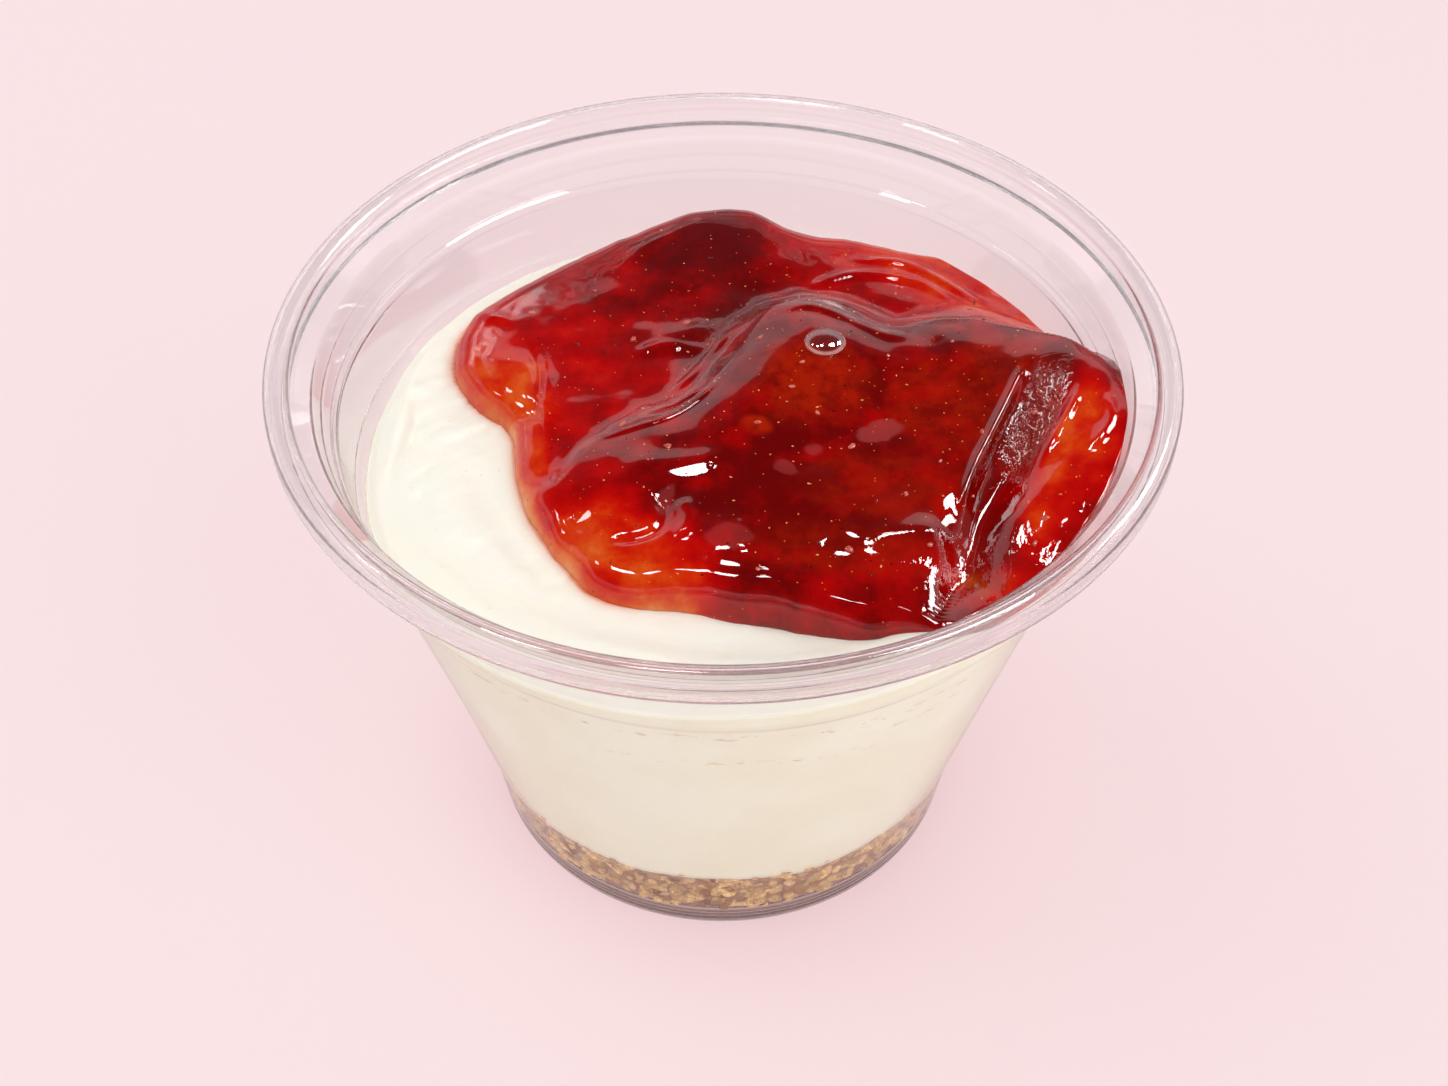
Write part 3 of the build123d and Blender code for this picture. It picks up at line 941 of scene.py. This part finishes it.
# Where light crosses less or more jelly than its thickness gives: place, spread, other spread,
# turn, and the depth in millimetres that the patch tends to.
depth_patches = [
    ((-25.6, 8.4), 4.2, 6.4, 0, 1.9),
    ((-24.0, 2.6), 3.0, 2.6, 0, 1.5),
    ((-21.0, -5.0), 1.7, 6.0, 0, 2.0),
    ((-13.0, -16.0), 4.2, 3.0, -16, 2.0),
    ((-4.0, -20.6), 3.6, 2.4, -10, 1.7),
    ((-8.5, -18.6), 6.4, 3.0, -12, 1.55),
    ((37.8, -9.0), 2.8, 7.0, -15, 4.0),
    ((33.6, -15.0), 2.6, 5.0, -25, 3.0),
    ((34.6, -10.6), 0.8, 5.0, -18, 2.0),
    ((39.0, -4.0), 1.4, 2.4, 0, 3.0),
    ((25.0, 27.0), 12.0, 3.2, -38, 3.2),
    ((6.0, -10.0), 9.0, 7.0, 0, 13.0),
    ((-2.0, 24.0), 8.0, 6.0, 0, 11.0),
    ((2.0, 12.0), 5.0, 5.0, 0, 12.0),
    ((14.0, 0.0), 5.0, 5.0, 0, 12.0),
]
pulp_patches = [
    ((9.6, 2.6), 5.2, 4.6, 10, 0.85),
    ((17.0, -12.0), 7.0, 4.0, -8, 0.45),
    ((24.0, -1.0), 5.5, 5.5, 0, 0.55),
    ((3.5, -3.8), 1.4, 1.0, -35, 1.0),
    ((30.0, 5.0), 4.0, 3.0, 0, 0.6),
    ((12.0, -20.0), 8.0, 2.6, -8, 0.4),
]
# Pale patches in the jelly: pale pieces, and at (24.6, -17.4) a painted highlight on a facet.
pale_patches = [
    ((16.5, -4.3), 2.1, 1.15, 16, 0.6),
    ((0.6, -18.4), 2.0, 1.4, -14, 0.3),
    ((6.4, -9.6), 1.1, 0.8, -30, 0.35),
    # A painted highlight: a facet that catches the light.
    ((24.6, -17.4), 0.9, 2.4, -8, 0.4),
    ((9.5, -7.0), 0.8, 0.6, 20, 0.4),
    ((-6.0, -12.4), 0.7, 1.6, -20, 0.35),
]
plum_patches = [
    ((-1.5, 31.0), 5.5, 4.6, 20, 0.85),
    ((2.2, 20.5), 4.0, 2.6, 20, 0.6),
    ((27.0, -20.0), 2.2, 4.6, -14, 0.6),
]


def store_compote_colour(compote, x, y, z):
    depth = z - yogurt_level(x, y)
    outside = compote_outside(x, y)
    depth = np.minimum(depth * 1.7 + 0.8, 12.0)
    for place, spread, other, turn, target in depth_patches:
        share = smooth_step(1.35 * bump(x, y, place, spread, other, turn))
        depth = depth + (target - depth) * share
    bearing = np.degrees(np.arctan2(y - compote_centre[1], x - compote_centre[0]))
    at_wall = (bearing > compote_reach[-1][0] - 360.0 + 6.0) & (bearing < compote_reach[0][0] - 4.0)
    front_edge = smooth_step((bearing + 106.0) / 10.0) * smooth_step((-50.0 - bearing) / 10.0)
    thin = np.where(at_wall, 1.0, smooth_step(-outside / (1.2 - 0.5 * front_edge)))
    upper_left = smooth_step((bearing - 130.0) / 12.0) * smooth_step((186.0 - bearing) / 8.0)
    lower_left = smooth_step((bearing + 136.0) / 10.0) * (1.0 - front_edge)
    left = 0.42 + 0.3 * front_edge + 0.28 * np.maximum(upper_left, lower_left)
    depth = np.maximum(depth, 1.4 + 9.0 * front_edge) * (left + (1.0 - left) * thin)
    near_wall = np.hypot(x, y) > inner_radius(z) - 0.4
    depth = np.where(near_wall, np.maximum(depth, 2.2), depth)
    layers = {"depth": depth, "crinkle": crinkled(x, y)}
    torn = 1.0 + 0.35 * rough(x, y, 5.0, 1.6, 2)
    for name, patches, soft in (
        ("pulp", pulp_patches, 0.6),
        ("plum", plum_patches, 0.7),
        ("pale", pale_patches, 0.16),
    ):
        value = np.zeros(x.shape)
        for place, spread, other, turn, share in patches:
            hill = bump(x, y, place, spread, other, turn) * torn
            value = np.maximum(value, share * smooth_step((hill - 0.5) / soft + 0.5))
        layers[name] = value
    for name, value in layers.items():
        store(compote, name, np.concatenate([value.ravel(), value.ravel()[:1], value.ravel()[-1:]]))


# ---- scattered pieces ----


def scatter(name, places, sizes, turns, material, uneven, smooth=True):
    """Many small lumps joined in one mesh, each turned by its own 3 x 3 matrix."""
    bm = bmesh.new()
    bmesh.ops.create_icosphere(bm, subdivisions=2, radius=1.0)
    shape = np.array([v.co[:] for v in bm.verts])
    faces = np.array([[v.index for v in f.verts] for f in bm.faces])
    bm.free()
    points, all_faces = [], []
    for i, (place, size, turn) in enumerate(zip(places, sizes, turns)):
        dents = 1.0 + uneven * np.sin(shape @ rng.normal(0, 2.2, (3, 3))).sum(1) / 1.7
        points.append((shape * dents[:, None] * size) @ np.asarray(turn).T + place)
        all_faces.append(faces + i * len(shape))
    return make_object(name, material, np.vstack(points), np.vstack(all_faces), smooth)


def make_crumb():
    """The pressed crumb: a rough core, with flakes of biscuit against the cup's wall."""
    _, c, s = round_steps(240)
    rings = []
    for share in np.linspace(0.15, 1.0, 8):
        r = (inner_radius(crumb_foot) - 1.0) * share
        rings.append((r * c, r * s, crumb_foot + 0 * c))
    top = crumb_top(28.0 * c, 28.0 * s)
    for share in np.linspace(0.03, 1.0, 30):
        z = crumb_foot * (1 - share) + top * share
        dent = 0.22 * rough(c * 28, s * 28, z, 1.5)
        r = inner_radius(z) - 0.25 + dent
        rings.append((r * c, r * s, z))
    for share in (0.9, 0.6, 0.3):
        r = (inner_radius(top) - 0.4) * share
        rings.append((r * c, r * s, crumb_top(r * c, r * s)))
    grid = np.array(rings).transpose(0, 2, 1)
    material = crumb_material("biscuit_crumb", rgb(168, 106, 60), rgb(104, 60, 30))
    return closed_skin("crumb_core", material, grid, (0, 0, crumb_foot), (0, 0, crumb_height))


def make_flakes():
    count = 1400
    places, sizes, turns = [], [], []
    for _ in range(count):
        bearing = rng.uniform(0, 2 * math.pi)
        z = rng.uniform(crumb_foot + 0.35, crumb_height + 0.9)
        size = min(rng.lognormal(0.06, 0.36), 1.8)
        wide, high, deep = 0.8 * size, 0.52 * size, 0.4 * size
        slope = rng.normal(0, 0.5)
        r = inner_radius(z) + 0.2 - deep * rng.uniform(0.95, 1.6)
        z = max(z, crumb_foot + high * 0.8)
        places.append((r * math.cos(bearing), r * math.sin(bearing), z))
        sizes.append((deep, wide, high))
        tilt = Matrix.Rotation(bearing, 3, "Z") @ Matrix.Rotation(slope, 3, "X")
        tilt = tilt @ Matrix.Rotation(rng.normal(0, 0.25), 3, "Z")
        turns.append(np.array(tilt))
    material = crumb_material("biscuit_flakes", rgb(255, 217, 156), rgb(112, 62, 30), toned=True)
    flakes = scatter("biscuit_flakes", places, sizes, turns, material, 0.3, smooth=False)
    tones = np.clip(rng.normal(0.6, 0.34, count), 0.0, 1.0)
    store(flakes, "tone", np.repeat(tones, len(flakes.data.vertices) // count))
    return flakes


def on_compote(count):
    """Places on the compote, away from its edge, with the surface's height there."""
    places = []
    while len(places) < count:
        x = rng.uniform(-32, 42, 400)
        y = rng.uniform(-30, 38, 400)
        inside = (compote_outside(x, y) < -2.2) & (np.hypot(x, y) < 39.0)
        x, y = x[inside], y[inside]
        places += list(zip(x, y, compote_top(x, y)))
    return places[:count]


def make_bits():
    """Seeds, dark specks and small shreds of fruit in the top of the jelly."""
    kinds = [
        ("gold_seeds", 200, (0.06, 0.13), 0.35, rgb(214, 96, 30), rgb(232, 150, 80)),
        ("dark_seeds", 80, (0.08, 0.2), 0.45, rgb(66, 8, 6), rgb(96, 14, 8)),
        ("pink_shreds", 30, (0.2, 0.46), 0.55, rgb(186, 64, 50), rgb(206, 100, 84)),
    ]
    made = []
    for name, count, (low, high), sink, first, second in kinds:
        places, sizes, turns = [], [], []
        for x, y, z in on_compote(count):
            size = rng.uniform(low, high)
            flat = rng.uniform(0.4, 0.8)
            places.append((x, y, z - size * flat * sink))
            sizes.append((size * rng.uniform(1.0, 1.8), size, size * flat))
            turns.append(np.array(Matrix.Rotation(rng.uniform(0, 2 * math.pi), 3, "Z")))
        material = seed_material(name, first, second)
        made.append(scatter(name, places, sizes, turns, material, 0.2))
    return made


def make_bubble():
    """An air bubble caught under the skin of the jelly, beside the crest of the fold."""
    place, radius, height = (11.1, 7.6), 2.3, 1.0
    base = float(compote_top(*place)) - 0.1
    sectors = 64
    _, c, s = round_steps(sectors)
    rings = []
    skins = ((0.0, np.linspace(4, 90, 20)), (0.16, np.linspace(90, 4, 20)))
    for skin, turns in skins:
        for turn in np.radians(turns):
            r = (radius - skin) * math.sin(turn)
            z = base + (height - skin) * math.cos(turn)
            rings.append(np.stack([place[0] + r * c, place[1] + r * s, z + 0 * c], axis=1))
    material, n = new_material("bubble_skin")
    clear = n.shader("ShaderNodeBsdfTransparent", Color=(0.97, 0.93, 0.93, 1.0))
    shine = n.shader("ShaderNodeBsdfGlossy", Roughness=0.03)
    # A pale colour round the bubble's rim: a painted highlight ring.
    pale = n.shader(Base_Color=rgb(222, 150, 140), Roughness=0.1)
    rim_painted_highlight = n.times(n.number("rim"), n.span(n.noise(1.6, 1.0), 0.35, 0.6, 0.25, 0.8))
    n.finish(n.blend(rim_painted_highlight, n.blend(0.13, clear, shine), pale))
    tops = (*place, base + height), (*place, base + height - 0.16)
    bubble = closed_skin("jelly_bubble", material, np.array(rings), *tops)
    slope = [turn for _, turns in skins for turn in turns]
    # The share of the painted highlight ring, rising towards the bubble's edge.
    rim = np.repeat(smooth_step((np.array(slope) - 62.0) / 14.0), sectors)
    store(bubble, "rim", np.concatenate([rim, [0.0, 0.0]]))
    return bubble


# ---- stage ----


# The backdrop as it is seen, what the floor gives back of the lamps' light and its own glow, which
# together come out as that colour, and how much of it is glow.
backdrop = rgb(249, 226, 229)
floor_colour = (0.80, 0.95, 0.93, 1.0)
floor_glow = (1.023, 0.663, 0.706, 1.0)
floor_own_light = 0.66
floor_reach = 3000.0


def make_floor():
    material, n = new_material("floor")
    floor = n.shader(Base_Color=floor_colour, Roughness=0.9, Specular_IOR_Level=0.0)
    glow = n.shader("ShaderNodeEmission", Color=floor_glow)
    bounce = n.shader("ShaderNodeBsdfDiffuse", Color=rgb(240, 232, 230))
    diffuse_ray = n.add("ShaderNodeLightPath").outputs["Is Diffuse Ray"]
    n.finish(n.blend(diffuse_ray, n.blend(floor_own_light, floor, glow), bounce))
    far = floor_reach
    corners = [(-far, -far, 0), (far, -far, 0), (far, far, 0), (-far, far, 0)]
    make_object("floor", material, corners, [(0, 1, 2, 3)], smooth=False)


def rising(levels):
    """Colours for these levels of brightness: pale pinks, and blue-greys where it is dark."""
    colours = []
    for position, level in levels:
        green, blue = (0.88, 0.90) if level > 0.5 else (1.05, 1.2)
        colours.append((position, (level, level * green, level * blue, 1.0)))
    return colours


# How bright the world is from straight down, at 0, to straight up, at 1: as the glossy pieces
# mirror it, and as it shows through the bent plastic.
mirrored_levels = ((0.0, 1.0), (0.5, 0.98), (0.555, 0.9), (0.59, 0.10), (0.80, 0.04), (1.0, 0.04))
bent_levels = (
    (0.0, 0.95), (0.1, 1.5), (0.2, 0.9), (0.28, 0.16), (0.36, 0.16), (0.44, 1.7),
    (0.56, 0.8), (0.68, 0.25), (0.74, 0.25), (0.85, 1.4), (1.0, 0.9),
)


def make_world():
    world = bpy.data.worlds.new("studio")
    bpy.context.scene.world = world
    n = Nodes(world)
    split = n.add("ShaderNodeSeparateXYZ")
    n.link(n.add("ShaderNodeTexCoord").outputs["Generated"], split.inputs[0])
    rise = split.outputs["Z"]
    path = n.add("ShaderNodeLightPath")
    shader = n.shader("ShaderNodeBackground", Color=(1.0, 0.985, 0.97, 1.0), Strength=0.77)
    for ray, colour, strength in (
        ("Is Glossy Ray", n.ramp(rise, rising(mirrored_levels)), 1.15),
        ("Is Transmission Ray", n.ramp(rise, rising(bent_levels)), 1.0),
        ("Is Camera Ray", backdrop, 1.0),
    ):
        seen = n.shader("ShaderNodeBackground", Color=colour, Strength=strength)
        shader = n.blend(path.outputs[ray], shader, seen)
    n.finish(shader, kind="ShaderNodeOutputWorld")


def lamp(name, place, target, size, size_y, radiance, glossy=True, diffuse=True):
    """A rectangular lamp of a given brightness, in metres, turned towards a point."""
    data = bpy.data.lights.new(name, "AREA")
    data.shape = "RECTANGLE"
    data.size, data.size_y = size, size_y
    data.energy = radiance * math.pi * size * size_y
    obj = bpy.data.objects.new(name, data)
    obj.location = place
    towards = Vector(target) - Vector(place)
    obj.rotation_mode = "QUATERNION"
    obj.rotation_quaternion = towards.to_track_quat("-Z", "Y")
    obj.visible_glossy = glossy
    obj.visible_transmission = glossy
    obj.visible_diffuse = diffuse
    bpy.context.scene.collection.objects.link(obj)


def make_lamps():
    middle = (0.0, 0.0, 0.04)
    lamp("key", (-0.45, 0.1, 0.8), middle, 0.6, 0.6, 1.75, glossy=False)
    lamp("fill", (0.65, -0.5, 0.55), middle, 0.7, 0.7, 1.45, glossy=False)
    surface = (0.0, 0.0, 0.05)
    for name, place, target, size, size_y, radiance in (
        ("window", (-0.05, 0.1, 0.62), surface, 0.08, 0.045, 36.0),
        ("window_gap", (-0.05, 0.16, 0.62), surface, 0.05, 0.02, 36.0),
        ("left_panel", (-0.195, 0.1, 0.62), surface, 0.08, 0.07, 34.0),
        ("right_panel", (0.22, 0.146, 0.62), surface, 0.16, 0.16, 30.0),
        ("far_left", (-0.42, 0.19, 0.61), surface, 0.07, 0.07, 16.0),
        ("far_right", (0.47, 0.31, 0.52), (0.029, -0.005, 0.056), 0.2, 0.2, 22.0),
    ):
        lamp(name, place, target, size, size_y, radiance, diffuse=False)


def make_camera():
    """Above the front, looking down at 45 degrees, as near as a hand-held camera."""
    data = bpy.data.cameras.new("camera")
    data.lens = 49.72
    data.sensor_width = 36.0
    data.clip_start, data.clip_end = 0.01, 20.0
    camera = bpy.data.objects.new("camera", data)
    elevation, distance, height = math.radians(44.81), 0.22926, 0.035383
    back = Vector((0.0, -math.cos(elevation), math.sin(elevation)))
    camera.location = Vector((0, 0, height)) + back * distance
    turn = (-back).to_track_quat("-Z", "Y").to_matrix()
    for degrees, axis in ((0.16, "Z"), (-0.04, "Y")):
        turn = turn @ Matrix.Rotation(math.radians(degrees), 3, axis)
    camera.rotation_mode = "QUATERNION"
    camera.rotation_quaternion = turn.to_quaternion()
    bpy.context.scene.collection.objects.link(camera)
    bpy.context.scene.camera = camera


# ---- assembly ----


def settle(obj, slot, *nodes):
    """Ties a piece to the part's one body and hides the CAD nodes that it stands for. The finish,
    slot, is not used.
    """
    if nodes:
        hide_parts(*nodes)
    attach(obj, "root")


make_camera()
make_world()
make_lamps()
make_floor()
settle(make_cup(), "clear_plastic", "cup")
settle(make_crumb(), "crumb", "crumb_base")
settle(make_flakes(), "crumb")
settle(make_yogurt(), "yogurt", "yogurt")
settle(make_compote(), "compote", "compote")
settle(make_bubble(), "compote")
for piece in make_bits():
    settle(piece, "compote")

view = bpy.context.scene.view_settings
view.view_transform = "Standard"
